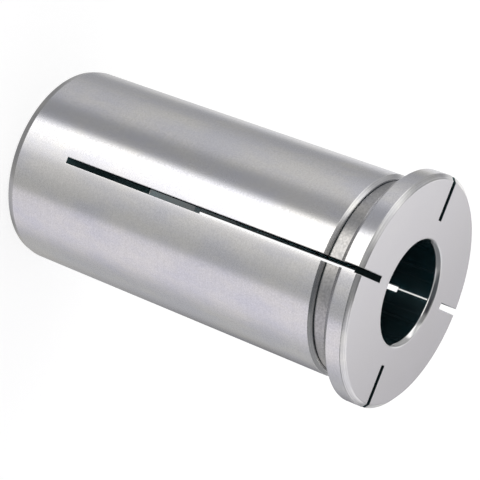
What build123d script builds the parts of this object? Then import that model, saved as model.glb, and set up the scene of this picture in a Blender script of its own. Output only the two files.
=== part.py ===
from build123d import *
import os
from math import sqrt

os.makedirs("parts", exist_ok=True)

# Reduction sleeve turned and ground from one piece of steel.
# It stands on its plain back end: z = 0 is the back end, the collar is at the top. Millimetres.

# body
total_length = 65.4
shank_diameter = 32.0
bore_diameter = 16.0

# lead-in at the plain back end
lead_in_length = 1.1
lead_in_drop = 0.25

# collar at the front
collar_diameter = 36.5
collar_thickness = 3.85
collar_front_chamfer_length = 0.6
collar_front_chamfer_drop = 0.75
collar_rear_chamfer = 0.85

# groove between collar and shank
groove_diameter = 30.3
groove_width = 3.3
groove_corner_radius = 0.2
shoulder_chamfer = 0.52

# bore ends
mouth_chamfer_length = 0.65
mouth_chamfer_drop = 0.48
back_mouth_chamfer = 0.5

# four sawn slots; the saw runs out through the front face and sinks below the bore wall behind it
slot_count = 4
slot_width = 1.0
slot_face_floor_radius = 11.4
slot_saw_radius = 31.5
slot_floor_radius = 5.5
slot_rear_land = 10.1

# edges broken by hand after grinding
edge_break = 0.08

shank_radius = shank_diameter / 2
bore_radius = bore_diameter / 2
collar_radius = collar_diameter / 2
groove_radius = groove_diameter / 2
collar_rear_z = total_length - collar_thickness
groove_rear_z = collar_rear_z - groove_width


def revolved_body():
    outline = [
        (bore_radius + back_mouth_chamfer, 0),
        (shank_radius - lead_in_drop, 0),
        (shank_radius, lead_in_length),
        (shank_radius, groove_rear_z - shoulder_chamfer),
        (shank_radius - shoulder_chamfer, groove_rear_z),
        (groove_radius, groove_rear_z),
        (groove_radius, collar_rear_z),
        (collar_radius - collar_rear_chamfer, collar_rear_z),
        (collar_radius, collar_rear_z + collar_rear_chamfer),
        (collar_radius, total_length - collar_front_chamfer_length),
        (collar_radius - collar_front_chamfer_drop, total_length),
        (bore_radius + mouth_chamfer_drop, total_length),
        (bore_radius, total_length - mouth_chamfer_length),
        (bore_radius, back_mouth_chamfer),
    ]
    with BuildPart() as body:
        with BuildSketch(Plane.XZ) as section:
            with BuildLine():
                Polyline(*outline, close=True)
            make_face()
            inner = [
                v
                for v in section.vertices()
                if abs(v.X - groove_radius) < 1e-4 and groove_rear_z - 1e-4 < v.Z < collar_rear_z + 1e-4
            ]
            fillet(inner, groove_corner_radius)
            outer = [
                v
                for v in section.vertices()
                if v.X > shank_radius - lead_in_drop - 1e-4 and v.Z < 1e-4
                or abs(v.X - collar_radius) < 1e-4
                or abs(v.X - collar_radius + collar_front_chamfer_drop) < 1e-4 and v.Z > total_length - 1e-4
            ]
            fillet(outer, edge_break)
        revolve(axis=Axis.Z)
    return body.part


def slot_cutter():
    # half height of the saw's chord where its rim stands at a given radius from the sleeve's axis
    def reach(radius):
        depth = radius - slot_floor_radius
        return sqrt(2 * slot_saw_radius * depth - depth * depth)

    front_centre = total_length - reach(slot_face_floor_radius)
    rear_centre = slot_rear_land + reach(shank_radius)
    saw_axis = slot_floor_radius + slot_saw_radius
    with BuildPart() as cutter:
        with BuildSketch(Plane.XZ):
            with Locations((saw_axis, front_centre), (saw_axis, rear_centre)):
                Circle(slot_saw_radius)
            with Locations((saw_axis, (front_centre + rear_centre) / 2)):
                Rectangle(2 * slot_saw_radius, front_centre - rear_centre)
        extrude(amount=slot_width / 2, both=True)
    return cutter.part


# turned by half a slot pitch, so that the seam of the round faces lies midway between two slots
sleeve = revolved_body().rotate(Axis.Z, 180 / slot_count)
cutter = slot_cutter()
for index in range(slot_count):
    sleeve -= cutter.rotate(Axis.Z, 360 / slot_count * index)
sleeve = sleeve.solid()

export_step(sleeve, "parts/sleeve.step")
print("sleeve", sleeve.is_valid, round(sleeve.volume, 1), sleeve.bounding_box())
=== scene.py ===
import bpy
from math import radians
from mathutils import Matrix, Vector


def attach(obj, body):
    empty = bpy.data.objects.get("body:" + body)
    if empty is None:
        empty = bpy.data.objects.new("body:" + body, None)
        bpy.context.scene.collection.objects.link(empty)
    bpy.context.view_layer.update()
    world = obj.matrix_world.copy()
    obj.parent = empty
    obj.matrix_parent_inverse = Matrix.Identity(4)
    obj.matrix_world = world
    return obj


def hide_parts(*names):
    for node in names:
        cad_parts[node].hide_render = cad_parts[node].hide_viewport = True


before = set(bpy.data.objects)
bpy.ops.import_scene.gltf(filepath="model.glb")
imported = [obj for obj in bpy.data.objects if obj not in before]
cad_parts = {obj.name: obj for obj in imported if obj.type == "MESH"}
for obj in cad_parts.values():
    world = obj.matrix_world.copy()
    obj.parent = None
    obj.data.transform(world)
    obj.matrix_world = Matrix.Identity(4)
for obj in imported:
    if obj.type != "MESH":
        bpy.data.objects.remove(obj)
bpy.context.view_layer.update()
print("frame loaded:", sorted(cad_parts))


# Small helpers for node trees.

def addNode(tree, kind, values=None, **settings):
    # values fills input sockets with numbers, colours or links; settings are the node's own switches
    node = tree.nodes.new(kind)
    for key, value in settings.items():
        setattr(node, key, value)
    for key, value in (values or {}).items():
        fill(tree, node.inputs[key], value)
    return node


def fill(tree, socket, value):
    if isinstance(value, bpy.types.NodeSocket):
        tree.links.new(value, socket)
    else:
        socket.default_value = value


def calc(tree, operation, first, second=0.0, third=0.0):
    return addNode(tree, "ShaderNodeMath", {0: first, 1: second, 2: third}, operation=operation).outputs[0]


def plus(tree, first, *others):
    for other in others:
        first = calc(tree, "ADD", first, other)
    return first


def minus(tree, first, *others):
    for other in others:
        first = calc(tree, "SUBTRACT", first, other)
    return first


def times(tree, first, second):
    return calc(tree, "MULTIPLY", first, second)


def splitVector(tree, vector):
    node = addNode(tree, "ShaderNodeSeparateXYZ", {0: vector})
    return node.outputs[0], node.outputs[1], node.outputs[2]


def joinVector(tree, x=0.0, y=0.0, z=0.0):
    return addNode(tree, "ShaderNodeCombineXYZ", {0: x, 1: y, 2: z}).outputs[0]


def distanceFromAxis(tree, x, y):
    return calc(tree, "SQRT", plus(tree, times(tree, x, x), times(tree, y, y)))


def mixColours(tree, share, first, second):
    return addNode(tree, "ShaderNodeMix", {0: share, 6: first, 7: second}, data_type="RGBA").outputs[2]


def spread(tree, value, low, high):
    # turns a mask of 0 to 1 into low to high
    limits = {"Value": value, "To Min": low, "To Max": high}
    return addNode(tree, "ShaderNodeMapRange", limits).outputs["Result"]


def smoothStep(tree, value, low, high):
    # 0 below low, 1 above high, soft between
    limits = {"Value": value, "From Min": low, "From Max": high}
    return addNode(tree, "ShaderNodeMapRange", limits, interpolation_type="SMOOTHSTEP").outputs["Result"]


def addSocket(tree, name, direction, kind="NodeSocketFloat", default=None):
    socket = tree.interface.new_socket(name, in_out=direction, socket_type=kind)
    if default is not None:
        socket.default_value = default


def groupEnds(tree):
    # what the group is given, and what it puts out
    return addNode(tree, "NodeGroupInput").outputs, addNode(tree, "NodeGroupOutput").inputs


# The camera stands at the photograph's angle.

view = {
    "place": (0.005151, -0.245794, 0.177829),
    "aim": (0.0017375, 0.0000241, 0.0348988),
    "roll": 111.0295,  # degrees: the sleeve lies across the picture
    "lens": 137.198,
    "sensor": 36.0,
    "nearest": 0.01,
}


def placeCamera():
    camera = bpy.data.objects.new("camera", bpy.data.cameras.new("camera"))
    bpy.context.scene.collection.objects.link(camera)
    place = Vector(view["place"])
    look = (Vector(view["aim"]) - place).to_track_quat("-Z", "Y").to_matrix()
    turn = look @ Matrix.Rotation(radians(view["roll"]), 3, "Z")
    camera.matrix_world = Matrix.Translation(place) @ turn.to_4x4()
    camera.data.lens = view["lens"]
    camera.data.sensor_width = view["sensor"]
    camera.data.clip_start = view["nearest"]
    bpy.context.scene.camera = camera


placeCamera()
print("camera placed")


# Steel finishes. Cool and warm are the two tints that drift over the surface, and tone is how far the marks
# darken and lighten it. Rough runs from the brightest marks to the darkest. A coat has a weight, a roughness
# and an IOR: honing leaves a clear mirror over the scratched depth.

finishes = {
    "groundSteel": {
        "cool": (0.60, 0.603, 0.645, 1), "warm": (0.638, 0.629, 0.616, 1), "tone": (0.90, 1.085),
        "rough": (0.20, 0.28), "anisotropy": 0.7, "lineDensity": 7000.0, "lineDepth": 0.05,
        "grain": 0.72, "grainScale": 4200.0, "edge": 0.85, "coat": None},
    "facedSteel": {
        "cool": (0.625, 0.615, 0.635, 1), "warm": (0.625, 0.615, 0.63, 1), "tone": (0.98, 1.012),
        "rough": (0.17, 0.22), "anisotropy": 0.0, "lineDensity": 1300.0, "lineDepth": 0.02,
        "grain": 0.6, "grainScale": 6500.0, "edge": 0.85, "coat": None},
    "chamferSteel": {
        "cool": (0.60, 0.60, 0.62, 1), "warm": (0.63, 0.625, 0.61, 1), "tone": (0.78, 1.2),
        "rough": (0.14, 0.22), "anisotropy": 0.3, "lineDensity": 6500.0, "lineDepth": 0.12,
        "grain": 0.15, "grainScale": 5200.0, "edge": 0.9, "coat": None},
    "polishedSteel": {
        "cool": (0.56, 0.57, 0.58, 1), "warm": (0.58, 0.575, 0.57, 1), "tone": (0.85, 1.12),
        "rough": (0.07, 0.11), "anisotropy": 0.0, "lineDensity": 3000.0, "lineDepth": 0.03,
        "grain": 0.2, "grainScale": 5200.0, "edge": 0.9, "coat": None},
    "turnedSteel": {
        "cool": (0.40, 0.40, 0.41, 1), "warm": (0.44, 0.43, 0.415, 1), "tone": (0.72, 1.12),
        "rough": (0.26, 0.38), "anisotropy": 0.2, "lineDensity": 4200.0, "lineDepth": 0.3,
        "grain": 0.85, "grainScale": 3400.0, "edge": 0.5, "coat": None},
    # The bore's near-black teal colour is painted shade: it is far darker and bluer than the honed steel
    # itself. The clear coat still gives real reflections.
    "honedSteelPaintedShade": {
        "cool": (0.015, 0.115, 0.145, 1), "warm": (0.09, 0.15, 0.17, 1), "tone": (0.6, 1.4),
        "rough": (0.34, 0.46), "anisotropy": 0.0, "lineDensity": 6000.0, "lineDepth": 0.02,
        "grain": 0.5, "grainScale": 6500.0, "edge": 0.6, "coat": (1.0, 0.03, 4.0)},
    # The slots' dark teal colour is partly the dull sawn surface and partly painted shade inside the narrow
    # slots.
    "sawnSteelAndPaintedShade": {
        "cool": (0.045, 0.105, 0.115, 1), "warm": (0.07, 0.11, 0.115, 1), "tone": (0.7, 1.3),
        "rough": (0.40, 0.55), "anisotropy": 0.0, "lineDensity": 3500.0, "lineDepth": 0.3,
        "grain": 0.5, "grainScale": 4500.0, "edge": 0.2, "coat": None},
}
markLook = {
    "ringWaver": 70.0,  # how fast a ring changes across the sleeve, per metre
    "radiusShare": 2.3,  # how far a step outwards moves the rings on, beside a step up
    "driftAcross": 170.0,
    "driftAlong": 75.0,
    "toneLimits": (0.3, 0.7),
    "driftLimits": (0.32, 0.68),
    "driftShare": 0.3,  # the drift's part in the tone, beside the marks
    "bumpHeight": 0.00002,
}
wearLook = {"radius": 0.00009, "samples": 6, "limits": (0.01, 0.10)}
ringRotation = 0.25  # the highlights spread along the sleeve, across the grinding rings


def machiningMarks():
    # fine rings round the axis, a fine grain and slow drifts along the sleeve; puts out masks and a height
    tree = bpy.data.node_groups.new("machiningMarks", "ShaderNodeTree")
    addSocket(tree, "Vector", "INPUT", "NodeSocketVector")
    addSocket(tree, "Line Density", "INPUT", default=5000.0)
    addSocket(tree, "Grain", "INPUT", default=0.2)
    addSocket(tree, "Grain Scale", "INPUT", default=6500.0)
    for name in ("Tone", "Height", "Drift"):
        addSocket(tree, name, "OUTPUT")
    given, result = groupEnds(tree)
    x, y, z = splitVector(tree, given["Vector"])

    # along the profile, height and radius both move a ring on, so flat faces and chamfers get rings too
    along = calc(tree, "MULTIPLY_ADD", distanceFromAxis(tree, x, y), markLook["radiusShare"], z)
    waver = markLook["ringWaver"]
    ringNumber = times(tree, along, given["Line Density"])
    ringPlace = joinVector(tree, times(tree, x, waver), times(tree, y, waver), ringNumber)
    ringValues = {"Vector": ringPlace, "Scale": 1.0, "Detail": 3.0, "Roughness": 0.6}
    rings = addNode(tree, "ShaderNodeTexNoise", ringValues).outputs[0]

    grainValues = {"Vector": given["Vector"], "Scale": given["Grain Scale"], "Detail": 2.0}
    grain = addNode(tree, "ShaderNodeTexNoise", grainValues).outputs[0]

    wide, long = markLook["driftAcross"], markLook["driftAlong"]
    driftPlace = joinVector(tree, times(tree, x, wide), times(tree, y, wide), times(tree, z, long))
    driftValues = {"Vector": driftPlace, "Scale": 1.0, "Detail": 5.0, "Roughness": 0.62}
    drift = addNode(tree, "ShaderNodeTexNoise", driftValues).outputs[0]

    height = addNode(tree, "ShaderNodeMix", {0: given["Grain"], 2: rings, 3: grain}).outputs[0]
    fill(tree, result["Height"], height)
    fill(tree, result["Tone"], smoothStep(tree, height, *markLook["toneLimits"]))
    fill(tree, result["Drift"], smoothStep(tree, drift, *markLook["driftLimits"]))
    return tree


def edgeWear():
    # handled edges are a little rounded and bright: puts out where, and the rounded normal
    tree = bpy.data.node_groups.new("edgeWear", "ShaderNodeTree")
    addSocket(tree, "Radius", "INPUT", default=wearLook["radius"])
    addSocket(tree, "Worn", "OUTPUT")
    addSocket(tree, "Normal", "OUTPUT", "NodeSocketVector")
    given, result = groupEnds(tree)
    samples = wearLook["samples"]
    rounded = addNode(tree, "ShaderNodeBevel", {"Radius": given["Radius"]}, samples=samples).outputs[0]
    facing = addNode(tree, "ShaderNodeNewGeometry").outputs["Normal"]
    likeness = addNode(tree, "ShaderNodeVectorMath", {0: rounded, 1: facing}, operation="DOT_PRODUCT")
    turned = minus(tree, 1.0, likeness.outputs["Value"])
    fill(tree, result["Worn"], smoothStep(tree, turned, *wearLook["limits"]))
    fill(tree, result["Normal"], rounded)
    return tree


def steel(name, marksGroup, wearGroup):
    look = finishes[name]
    material = bpy.data.materials.new(name)
    material.use_nodes = True
    tree = material.node_tree
    shader = tree.nodes["Principled BSDF"]
    place = addNode(tree, "ShaderNodeTexCoord").outputs["Object"]
    markValues = {"Vector": place, "Line Density": look["lineDensity"], "Grain": look["grain"],
                  "Grain Scale": look["grainScale"]}
    marks = addNode(tree, "ShaderNodeGroup", node_tree=marksGroup)
    for key, value in markValues.items():
        fill(tree, marks.inputs[key], value)
    drift = marks.outputs["Drift"]
    share = markLook["driftShare"]
    blend = calc(tree, "MULTIPLY_ADD", marks.outputs["Tone"], 1.0 - share, times(tree, drift, share))

    wear = addNode(tree, "ShaderNodeGroup", node_tree=wearGroup)
    wear.inputs["Radius"].default_value = wearLook["radius"]
    tint = mixColours(tree, drift, look["cool"], look["warm"])
    toned = {0: tint, "Scale": spread(tree, blend, *look["tone"])}
    colour = addNode(tree, "ShaderNodeVectorMath", toned, operation="SCALE").outputs[0]
    bright = (look["edge"], look["edge"], look["edge"], 1)
    smoothest, roughest = look["rough"]
    bump = {"Height": marks.outputs["Height"], "Normal": wear.outputs["Normal"],
            "Strength": look["lineDepth"], "Distance": markLook["bumpHeight"]}
    fill(tree, shader.inputs["Base Color"], mixColours(tree, wear.outputs["Worn"], colour, bright))
    fill(tree, shader.inputs["Roughness"], spread(tree, blend, roughest, smoothest))
    fill(tree, shader.inputs["Normal"], addNode(tree, "ShaderNodeBump", bump).outputs[0])
    shader.inputs["Metallic"].default_value = 1.0
    if look["coat"]:
        for key, value in zip(("Coat Weight", "Coat Roughness", "Coat IOR"), look["coat"]):
            shader.inputs[key].default_value = value
    if look["anisotropy"]:
        shader.inputs["Anisotropic"].default_value = look["anisotropy"]
        shader.inputs["Anisotropic Rotation"].default_value = ringRotation
        tangent = addNode(tree, "ShaderNodeTangent", direction_type="RADIAL", axis="Z")
        fill(tree, shader.inputs["Tangent"], tangent.outputs[0])
    return material


marksGroup = machiningMarks()
wearGroup = edgeWear()
steels = {name: steel(name, marksGroup, wearGroup) for name in finishes}
print("materials made:", sorted(steels))


# The sleeve is turned from a profile and slotted by Geometry Nodes. All sizes are in millimetres.

sleeveSizes = {
    "Total Length": 65.4,
    "Shank Radius": 16.0,
    "Bore Radius": 8.0,
    "Lead In Length": 1.1,
    "Lead In Drop": 0.25,
    "Collar Radius": 18.25,
    "Collar Thickness": 3.85,
    "Front Chamfer Length": 0.6,
    "Front Chamfer Drop": 0.75,
    "Rear Chamfer": 0.85,
    "Groove Radius": 15.15,
    "Groove Width": 3.3,
    "Groove Corner": 0.2,
    "Relief Width": 0.12,
    "Relief Floor Width": 0.072,
    "Relief Depth": 0.14,
    "Shoulder Chamfer": 0.52,
    "Mouth Chamfer Length": 0.68,
    "Mouth Chamfer Drop": 0.44,
    "Back Mouth Chamfer": 0.5,
    "Edge Break": 0.15,
    "Mouth Outer Rounding": 0.28,
    "Mouth Inner Rounding": 0.75,
    "Slot Width": 1.0,
    "Slot Face Floor Radius": 11.4,
    "Saw Radius": 31.5,
    "Slot Floor Radius": 5.5,
    "Slot Rear Land": 10.1,
    "Slot Edge Break": 0.11,
    "Slot Edge Drop": 0.03,
}
sleeveCounts = {"Slot Count": 4, "Turning Steps": 288, "Saw Steps": 360}
roundingSteps = 6

# how far from a corner the plain point stands that keeps a long surface flat beside a rounding
flatFrom = {"backEnd": 0.3, "groove": 0.1, "collar": 0.18, "face": 0.15, "bore": 0.35}
mouthFlatFrom = {"share": 0.51, "extra": 0.02}  # a share of the mouth's outer rounding, and a little more

# where each finish starts and stops, beside the corner that it is measured from
finishMargin = {"hair": 0.002, "close": 0.01, "chamfer": 0.02, "frontEdge": 0.05, "lip": 0.16,
                "lipHeight": 2.0, "reliefHeight": 0.5, "face": 0.005, "bore": 0.003}

slotBarDepth = 3.0  # height of the bar that breaks a slot's edges, in edge drops
slotBarPast = 0.2  # how far that bar runs into the groove
sharpFrom = 11.0  # degrees between two faces, from which their edge is kept sharp


def profileCurve(tree, size):
    total, corner, broken = size["Total Length"], size["Groove Corner"], size["Edge Break"]
    bore, groove = size["Bore Radius"], size["Groove Radius"]
    shank, collar = size["Shank Radius"], size["Collar Radius"]
    collarRear = minus(tree, total, size["Collar Thickness"])
    shoulder = minus(tree, collarRear, size["Groove Width"])
    backEdge = minus(tree, shank, size["Lead In Drop"])
    relief = minus(tree, groove, size["Relief Depth"])
    rearEdge = plus(tree, collarRear, size["Rear Chamfer"])
    frontEdge = minus(tree, total, size["Front Chamfer Length"])
    faceEdge = minus(tree, collar, size["Front Chamfer Drop"])
    mouthEdge = plus(tree, bore, size["Mouth Chamfer Drop"])
    mouthRounding = size["Mouth Outer Rounding"]
    mouthFlat = calc(tree, "MULTIPLY_ADD", mouthRounding, mouthFlatFrom["share"], mouthFlatFrom["extra"])
    mouthEnd = minus(tree, total, size["Mouth Chamfer Length"])
    corners = [
        # radius, height, rounding
        (plus(tree, bore, size["Back Mouth Chamfer"]), 0.0, 0.0),
        (minus(tree, backEdge, flatFrom["backEnd"]), 0.0, 0.0),
        (backEdge, 0.0, broken),
        (shank, size["Lead In Length"], 0.0),
        (shank, minus(tree, shoulder, size["Shoulder Chamfer"]), 0.0),
        (minus(tree, shank, size["Shoulder Chamfer"]), shoulder, 0.0),
        # relief cut in the corner, for the grinding wheel
        (relief, shoulder, 0.0),
        (relief, plus(tree, shoulder, size["Relief Floor Width"]), 0.0),
        (groove, plus(tree, shoulder, size["Relief Width"]), 0.0),
        (groove, minus(tree, collarRear, corner, flatFrom["groove"]), 0.0),
        (groove, collarRear, corner),
        (minus(tree, collar, size["Rear Chamfer"]), collarRear, 0.0),
        (collar, rearEdge, broken),
        (collar, plus(tree, rearEdge, flatFrom["collar"]), 0.0),
        (collar, minus(tree, frontEdge, flatFrom["collar"]), 0.0),
        (collar, frontEdge, broken),
        (faceEdge, total, broken),
        (minus(tree, faceEdge, flatFrom["face"]), total, 0.0),
        (plus(tree, mouthEdge, mouthFlat), total, 0.0),
        (mouthEdge, total, mouthRounding),
        (bore, mouthEnd, size["Mouth Inner Rounding"]),
        (bore, minus(tree, mouthEnd, flatFrom["bore"]), 0.0),
        (bore, size["Back Mouth Chamfer"], 0.0),
    ]
    index = addNode(tree, "GeometryNodeInputIndex").outputs[0]
    places = addNode(tree, "GeometryNodeIndexSwitch", {"Index": index}, data_type="VECTOR")
    roundings = addNode(tree, "GeometryNodeIndexSwitch", {"Index": index}, data_type="FLOAT")
    for number, (radius, height, rounding) in enumerate(corners):
        if number > 1:  # a new switch already has its first two places
            places.index_switch_items.new()
            roundings.index_switch_items.new()
        # the turning circle has radius 1, so the profile stands 1 nearer to the axis; its y runs down
        place = joinVector(tree, minus(tree, radius, 1.0), minus(tree, 0.0, height))
        fill(tree, places.inputs[number + 1], place)
        fill(tree, roundings.inputs[number + 1], rounding)
    line = addNode(tree, "GeometryNodeMeshLine", {"Count": len(corners)}).outputs[0]
    shaped = addNode(tree, "GeometryNodeSetPosition", {0: line, "Position": places.outputs[0]}).outputs[0]
    curve = addNode(tree, "GeometryNodeMeshToCurve", {0: shaped}).outputs[0]
    closed = addNode(tree, "GeometryNodeSetSplineCyclic", {0: curve, "Cyclic": True}).outputs[0]
    roundValues = {0: closed, "Count": roundingSteps, "Radius": roundings.outputs[0]}
    rounded = addNode(tree, "GeometryNodeFilletCurve", roundValues, mode="POLY").outputs[0]
    return rounded, shoulder, collarRear


def repeatAround(tree, geometry, count):
    # the same cutter at each slot
    index = addNode(tree, "GeometryNodeInputIndex").outputs[0]
    angle = times(tree, index, calc(tree, "DIVIDE", radians(360.0), count))
    turn = addNode(tree, "FunctionNodeEulerToRotation", {0: joinVector(tree, z=angle)}).outputs[0]
    points = addNode(tree, "GeometryNodePoints", {"Count": count}).outputs[0]
    placing = {"Points": points, "Instance": geometry, "Rotation": turn}
    placed = addNode(tree, "GeometryNodeInstanceOnPoints", placing).outputs[0]
    return addNode(tree, "GeometryNodeRealizeInstances", {0: placed}).outputs[0]


def withMaterial(tree, geometry, finish, selection=True):
    node = addNode(tree, "GeometryNodeSetMaterial", {"Geometry": geometry, "Selection": selection})
    node.inputs["Material"].default_value = steels[finish]
    return node.outputs[0]


def cutAway(tree, geometry, cutter):
    node = addNode(tree, "GeometryNodeMeshBoolean", operation="DIFFERENCE", solver="EXACT")
    fill(tree, node.inputs["Mesh 1"], geometry)
    fill(tree, node.inputs["Mesh 2"], cutter)
    return node.outputs[0]


def sawCutter(tree, size):
    # the saw goes in near the collar, runs back along the sleeve and comes out
    def reach(radius):
        # half height of the saw's chord where its rim stands at a given radius from the sleeve's axis
        depth = minus(tree, radius, size["Slot Floor Radius"])
        square = times(tree, times(tree, size["Saw Radius"], 2.0), depth)
        return calc(tree, "SQRT", minus(tree, square, times(tree, depth, depth)))

    front = minus(tree, size["Total Length"], reach(size["Slot Face Floor Radius"]))
    rear = plus(tree, size["Slot Rear Land"], reach(size["Shank Radius"]))
    halfRun = times(tree, minus(tree, front, rear), 0.5)
    middle = times(tree, plus(tree, front, rear), 0.5)
    axis = plus(tree, size["Slot Floor Radius"], size["Saw Radius"])
    discValues = {"Vertices": size["Saw Steps"], "Radius": size["Saw Radius"], "Depth": size["Slot Width"]}
    disc = addNode(tree, "GeometryNodeMeshCylinder", discValues).outputs[0]
    onEdge = (radians(90.0), 0.0, 0.0)
    upright = addNode(tree, "GeometryNodeTransform", {0: disc, "Rotation": onEdge}).outputs[0]
    z = splitVector(tree, addNode(tree, "GeometryNodeInputPosition").outputs[0])[2]
    stretch = joinVector(tree, z=times(tree, calc(tree, "SIGN", z), halfRun))
    run = addNode(tree, "GeometryNodeSetPosition", {0: upright, "Offset": stretch}).outputs[0]
    place = joinVector(tree, axis, 0.0, middle)
    return addNode(tree, "GeometryNodeTransform", {0: run, "Translation": place}).outputs[0]


def flaredBar(tree, size, sides, place, outwards):
    # a bar that widens outwards at a flat angle, and so takes the sharp edge off both sides of a slot
    bar = addNode(tree, "GeometryNodeMeshCube", {"Size": sides}).outputs[0]
    x, y, z = splitVector(tree, addNode(tree, "GeometryNodeInputPosition").outputs[0])
    half = plus(tree, times(tree, size["Slot Width"], 0.5), size["Slot Edge Break"])
    flare = calc(tree, "DIVIDE", size["Slot Edge Break"], size["Slot Edge Drop"])
    wider = times(tree, {"x": x, "z": z}[outwards], flare)
    wide = times(tree, calc(tree, "SIGN", y), plus(tree, half, wider))
    flared = joinVector(tree, x, wide, z)
    shaped = addNode(tree, "GeometryNodeSetPosition", {0: bar, "Position": flared}).outputs[0]
    return addNode(tree, "GeometryNodeTransform", {0: shaped, "Translation": place}).outputs[0]


def edgeBar(tree, size, radius, start, end):
    # along a slot's edges on a round surface
    deep = times(tree, size["Slot Edge Drop"], slotBarDepth)
    sides = joinVector(tree, deep, 1.0, minus(tree, end, start))
    place = joinVector(tree, radius, 0.0, times(tree, plus(tree, start, end), 0.5))
    return flaredBar(tree, size, sides, place, "x")


def faceBar(tree, size, height, start, end):
    # along a slot's edges on the front face, from the slot's floor out to the chamfer
    deep = times(tree, size["Slot Edge Drop"], slotBarDepth)
    sides = joinVector(tree, minus(tree, end, start), 1.0, deep)
    place = joinVector(tree, times(tree, plus(tree, start, end), 0.5), 0.0, height)
    return flaredBar(tree, size, sides, place, "z")


def between(tree, value, low, high):
    return times(tree, calc(tree, "GREATER_THAN", value, low), calc(tree, "LESS_THAN", value, high))


def withFinishes(tree, turned, size, shoulder, collarRear):
    # a finish for each turned surface; a later one covers an earlier one
    total, bore, margin = size["Total Length"], size["Bore Radius"], finishMargin
    x, y, z = splitVector(tree, addNode(tree, "GeometryNodeInputPosition").outputs[0])
    radius = distanceFromAxis(tree, x, y)

    def above(value, limit):
        return calc(tree, "GREATER_THAN", value, limit)

    def below(value, limit):
        return calc(tree, "LESS_THAN", value, limit)

    grooveStart = plus(tree, shoulder, margin["hair"])
    grooveEnd = plus(tree, collarRear, margin["close"])
    leadInEnd = minus(tree, size["Lead In Length"], margin["close"])
    chamferStart = plus(tree, minus(tree, shoulder, size["Shoulder Chamfer"]), margin["chamfer"])
    chamferEnd = minus(tree, shoulder, margin["chamfer"])
    frontStart = minus(tree, total, size["Front Chamfer Length"], margin["frontEdge"])
    lipEnd = plus(tree, bore, size["Mouth Chamfer Drop"], margin["lip"])
    lip = times(tree, below(radius, lipEnd), above(z, minus(tree, total, margin["lipHeight"])))
    reliefStart = minus(tree, shoulder, margin["close"])
    reliefEnd = plus(tree, shoulder, margin["reliefHeight"])
    reliefTop = minus(tree, size["Groove Radius"], margin["close"])
    relief = times(tree, between(tree, z, reliefStart, reliefEnd), between(tree, radius, bore, reliefTop))
    for finish, selection in (
        ("groundSteel", True),
        ("turnedSteel", between(tree, z, grooveStart, grooveEnd)),
        ("chamferSteel", between(tree, z, -margin["close"], leadInEnd)),
        ("chamferSteel", between(tree, z, chamferStart, chamferEnd)),
        ("chamferSteel", above(z, frontStart)),
        ("polishedSteel", lip),
        # the relief cut takes the slots' dark colour as painted shade in the shoulder's corner, which draws
        # the black line there
        ("sawnSteelAndPaintedShade", relief),
        ("facedSteel", above(z, minus(tree, total, margin["face"]))),
        ("honedSteelPaintedShade", below(radius, plus(tree, bore, margin["bore"]))),
    ):
        turned = withMaterial(tree, turned, finish, selection)
    return turned


def sleeveTree():
    tree = bpy.data.node_groups.new("slottedSleeve", "GeometryNodeTree")
    addSocket(tree, "Geometry", "OUTPUT", "NodeSocketGeometry")
    for name, value in sleeveSizes.items():
        addSocket(tree, name, "INPUT", "NodeSocketFloat", value)
    for name, value in sleeveCounts.items():
        addSocket(tree, name, "INPUT", "NodeSocketInt", value)
    size, result = groupEnds(tree)
    total, count = size["Total Length"], size["Slot Count"]
    profile, shoulder, collarRear = profileCurve(tree, size)
    circleValues = {"Resolution": size["Turning Steps"], "Radius": 1.0}
    circle = addNode(tree, "GeometryNodeCurvePrimitiveCircle", circleValues).outputs[0]
    turned = addNode(tree, "GeometryNodeCurveToMesh", {0: circle, 1: profile}).outputs[0]
    turned = withFinishes(tree, turned, size, shoulder, collarRear)

    # saw the slots, then break their edges on the shank, the collar and the front face
    saw = withMaterial(tree, sawCutter(tree, size), "sawnSteelAndPaintedShade")
    slotted = cutAway(tree, turned, repeatAround(tree, saw, count))
    shankEnd = plus(tree, shoulder, slotBarPast)
    collarStart = minus(tree, collarRear, slotBarPast)
    collarEnd = minus(tree, total, size["Front Chamfer Length"])
    faceEnd = minus(tree, size["Collar Radius"], size["Front Chamfer Drop"])
    bars = addNode(tree, "GeometryNodeJoinGeometry")
    for bar in (
        edgeBar(tree, size, size["Shank Radius"], size["Slot Rear Land"], shankEnd),
        edgeBar(tree, size, size["Collar Radius"], collarStart, collarEnd),
        faceBar(tree, size, total, size["Slot Face Floor Radius"], faceEnd),
    ):
        tree.links.new(bar, bars.inputs[0])
    breakers = repeatAround(tree, withMaterial(tree, bars.outputs[0], "groundSteel"), count)
    broken = cutAway(tree, slotted, breakers)

    # smooth round the axis, sharp at each turned edge
    angle = addNode(tree, "GeometryNodeInputMeshEdgeAngle").outputs[0]
    smooth = addNode(tree, "GeometryNodeSetShadeSmooth", {0: broken}).outputs[0]
    sharp = calc(tree, "GREATER_THAN", angle, radians(sharpFrom))
    edgeValues = {0: smooth, "Selection": sharp, "Shade Smooth": False}
    edged = addNode(tree, "GeometryNodeSetShadeSmooth", edgeValues, domain="EDGE").outputs[0]
    metres = addNode(tree, "GeometryNodeTransform", {0: edged, "Scale": (0.001, 0.001, 0.001)}).outputs[0]
    whole = addNode(tree, "GeometryNodeRealizeInstances", {0: metres}).outputs[0]
    # every face already has its finish, so this last one is laid on none
    fill(tree, result[0], withMaterial(tree, whole, "groundSteel", False))
    return tree


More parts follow.
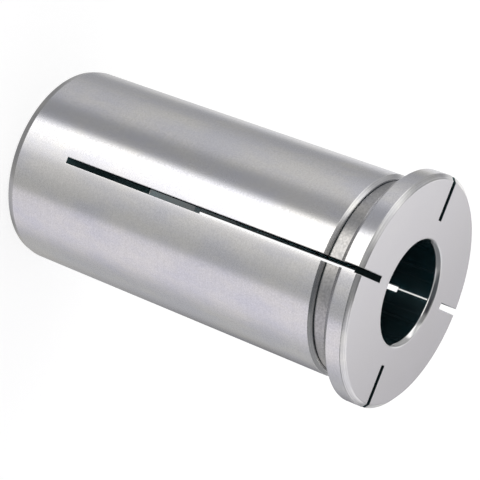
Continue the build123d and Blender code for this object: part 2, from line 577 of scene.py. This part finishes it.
def makeSleeve():
    tree = sleeveTree()
    seed = bpy.data.objects.new("sleeveBuild", bpy.data.meshes.new("sleeveBuild"))
    bpy.context.scene.collection.objects.link(seed)
    modifier = seed.modifiers.new("slottedSleeve", "NODES")
    modifier.node_group = tree
    values = {**sleeveSizes, **sleeveCounts}
    for item in tree.interface.items_tree:
        if item.in_out == "INPUT":
            modifier[item.identifier] = values[item.name]
    graph = bpy.context.evaluated_depsgraph_get()
    built = seed.evaluated_get(graph)
    mesh = bpy.data.meshes.new_from_object(built, preserve_all_data_layers=True, depsgraph=graph)
    seed.modifiers.remove(modifier)
    bpy.data.objects.remove(seed)
    sleeve = bpy.data.objects.new("slottedSleeve", mesh)
    bpy.context.scene.collection.objects.link(sleeve)
    return sleeve


sleeve = makeSleeve()
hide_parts("sleeve")
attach(sleeve, "root")
print("sleeve made:", len(sleeve.data.polygons), "faces")


# Floor and studio light.

floorLook = {"halfSide": 1.5, "grey": 0.5, "lift": 0.72}


def makeFloor():
    mesh = bpy.data.meshes.new("floor")
    side = floorLook["halfSide"]
    square = [(-side, -side, 0), (side, -side, 0), (side, side, 0), (-side, side, 0)]
    mesh.from_pydata(square, [], [(0, 1, 2, 3)])
    floor = bpy.data.objects.new("floor", mesh)
    bpy.context.scene.collection.objects.link(floor)
    floor.visible_glossy = False  # the steel shows the cards of the tent instead
    material = bpy.data.materials.new("paleFloor")
    material.use_nodes = True
    tree = material.node_tree
    shader = tree.nodes["Principled BSDF"]
    grey = floorLook["grey"]
    shader.inputs["Base Color"].default_value = (grey, grey, grey, 1)
    shader.inputs["Roughness"].default_value = 1.0
    shader.inputs["Specular IOR Level"].default_value = 0.0
    path = addNode(tree, "ShaderNodeLightPath").outputs
    mirrored = calc(tree, "MAXIMUM", path["Is Glossy Ray"], path["Is Transmission Ray"])
    seen = calc(tree, "MAXIMUM", path["Is Camera Ray"], mirrored)
    shader.inputs["Emission Color"].default_value = (1, 1, 1, 1)
    fill(tree, shader.inputs["Emission Strength"], times(tree, seen, floorLook["lift"]))
    # from below the floor is clear, so that the sleeve's underside can be looked at
    under = addNode(tree, "ShaderNodeNewGeometry").outputs["Backfacing"]
    clear = addNode(tree, "ShaderNodeBsdfTransparent").outputs[0]
    both = addNode(tree, "ShaderNodeMixShader", {0: under, 1: shader.outputs[0], 2: clear}).outputs[0]
    tree.links.new(both, tree.nodes["Material Output"].inputs["Surface"])
    mesh.materials.append(material)


makeFloor()
print("floor made")

# Cards of a light tent round the sleeve. Directions are seen from the sleeve in degrees: across from the
# camera's side (positive to the camera's right), up from level. Each card has soft margins and a brightness.
# Where its lower and upper edges slope it has a lean: degrees up for each degree across. A later card covers
# an earlier one.
cameraSide = -88.80
studioCards = {
    # name: across from, to, soft from, soft to, up from, to, soft, colour, lean
    "lowBehind": (144, 196, 9, 16, -90, -30, 12, (0.49, 0.48, 0.47), 0),
    "lowRight": (60, 116, 15, 12, -90, -30, 12, (0.56, 0.555, 0.58), 0),
    "leftShade": (-151, -112, 6, 18, -50, 12, 8, (0.48, 0.48, 0.48), 0),
    "leftWall": (-104, -70, 24, 8, -44, 12, 8, (0.695, 0.69, 0.695), 0),
    "leftPanel": (-94, -60, 8, 8, -23, 12, 4, (1.04, 1.03, 1.04), 0),
    "leftFlag": (-66, -40, 7, 3, -44, 12, 8, (0.365, 0.37, 0.385), 0),
    "leftFlagFront": (-64, -41, 7, 3, -23, 12, 4, (0.69, 0.69, 0.70), 0),
    "keyFalloff": (-36, 18, 3, 22, -44, 12, 8, (0.99, 0.98, 0.985), 0),
    "key": (-37.5, -15, 4, 15, -44, 12, 8, (2.33, 2.3, 2.25), 0),
    "keyFront": (-20, 2, 8, 5, -31.5, 12, 3, (2.33, 2.3, 2.25), 0),
    "middleShade": (35, 46, 10, 4, -44, 12, 8, (0.585, 0.585, 0.585), 0),
    "rightCard": (50, 103, 4, 20, -44, 12, 8, (1.03, 1.0, 1.06), 0),
    "rightShade": (146, 173, 20, 3, -32, -20, 4, (0.18, 0.18, 0.195), 0),
    "rightFront": (90, 160, 14, 6, -22, 0, 4, (0.90, 0.89, 0.90), 0),
    "backWall": (174, 216, 3, 9, -35, 12, 8, (0.95, 0.945, 0.95), 0),
    "topFront": (-70, 72, 14, 10, 30, 90, 12, (0.38, 0.38, 0.38), 0),
    "topFrontLeft": (-66, -14, 8, 8, 52, 80, 5, (0.54, 0.54, 0.54), 0),
    "topFrontLow": (-34, 40, 8, 8, 26, 50, 5, (0.08, 0.08, 0.09), 0),
    "topFrontRight": (4, 80, 8, 8, 34, 66, 6, (0.12, 0.13, 0.14), 0),
    "topLeftHigh": (-111, -60, 10, 10, 52, 72, 5, (0.98, 0.97, 0.96), 0),
    "topLeft": (-111, -62, 10, 10, 34, 56, 5, (1.4, 1.39, 1.37), 0),
    "leftBack": (-156, -134, 5, 8, 4, 64, 8, (0.42, 0.42, 0.43), 0),
    "leftMiddle": (-99, -62, 5, 6, 13, 29, 4, (1.9, 1.88, 1.86), 0),
    "rightHigh": (70, 158, 8, 4, 0, 50, 4, (0.33, 0.335, 0.345), 0),
    "topRight": (66, 152, 6, 6, 37.5, 84, 2, (1.15, 1.13, 1.15), -0.74),
    "topBack": (150, 214, 8, 14, 46, 80, 5, (0.7, 0.69, 0.7), 0),
    "zenith": (-200, 200, 1, 1, 76, 100, 5, (0.25, 0.25, 0.255), 0),
    "backLow": (150, 206, 6, 5, 11, 24.8, 2, (0.45, 0.44, 0.45), -0.28),
    "backHigh": (149, 214, 6, 10, 24.8, 44, 2, (1.25, 1.24, 1.25), -0.28),
    "leftCorner": (-158, -148, 4, 4, -2, 15, 4, (0.95, 0.95, 0.95), 0),
    "backGlow": (168, 196, 8, 8, -8, 9, 5, (1.8, 1.8, 1.8), 0),
}
# the plain light between the cards; lowFrom is where the darker light from below gives way to the wall
studioLevel = {"wall": 0.60, "low": 0.35, "lowFrom": (-52.0, -36.0)}


def cardGroup():
    tree = bpy.data.node_groups.new("studioCard", "ShaderNodeTree")
    for name in ("Across", "Up", "Centre", "Half", "Soft From", "Soft To", "Low", "High", "Soft Up", "Lean"):
        addSocket(tree, name, "INPUT")
    addSocket(tree, "Mask", "OUTPUT")
    given, result = groupEnds(tree)

    def edge(value, place, soft):
        return smoothStep(tree, value, minus(tree, place, soft), plus(tree, place, soft))

    def opposite(value):
        return times(tree, value, -1.0)

    offset = calc(tree, "WRAP", minus(tree, given["Across"], given["Centre"]), 180.0, -180.0)
    fromSide = edge(offset, opposite(given["Half"]), given["Soft From"])
    toSide = edge(opposite(offset), opposite(given["Half"]), given["Soft To"])
    up = minus(tree, given["Up"], times(tree, offset, given["Lean"]))
    lower = edge(up, given["Low"], given["Soft Up"])
    upper = edge(opposite(up), opposite(given["High"]), given["Soft Up"])
    fill(tree, result["Mask"], times(tree, times(tree, fromSide, toSide), times(tree, lower, upper)))
    return tree


def makeStudio():
    world = bpy.data.worlds.new("studio")
    bpy.context.scene.world = world
    world.use_nodes = True
    tree = world.node_tree
    tree.nodes.clear()
    x, y, z = splitVector(tree, addNode(tree, "ShaderNodeTexCoord").outputs["Generated"])
    across = minus(tree, calc(tree, "DEGREES", calc(tree, "ARCTAN2", y, x)), cameraSide)
    up = calc(tree, "DEGREES", calc(tree, "ARCSINE", z))
    low, wall = studioLevel["low"], studioLevel["wall"]
    fromLow = smoothStep(tree, up, *studioLevel["lowFrom"])
    lit = mixColours(tree, fromLow, (low, low, low, 1), (wall, wall, wall, 1))
    group = cardGroup()
    for name, (start, end, softFrom, softTo, bottom, top, softUp, colour, lean) in studioCards.items():
        card = addNode(tree, "ShaderNodeGroup", node_tree=group, label=name)
        centre, half = (start + end) / 2, (end - start) / 2
        numbers = (across, up, centre, half, softFrom, softTo, bottom, top, softUp, lean)
        for socket, value in zip(card.inputs, numbers):
            fill(tree, socket, value)
        lit = mixColours(tree, card.outputs[0], lit, (*colour, 1))
    # the camera sees plain white round the sleeve; the steel shows the cards
    seen = addNode(tree, "ShaderNodeLightPath").outputs["Is Camera Ray"]
    background = addNode(tree, "ShaderNodeBackground", {"Color": mixColours(tree, seen, lit, (1, 1, 1, 1))})
    output = addNode(tree, "ShaderNodeOutputWorld")
    tree.links.new(background.outputs[0], output.inputs["Surface"])


makeStudio()
bpy.context.scene.view_settings.view_transform = "Standard"
print("studio lit")
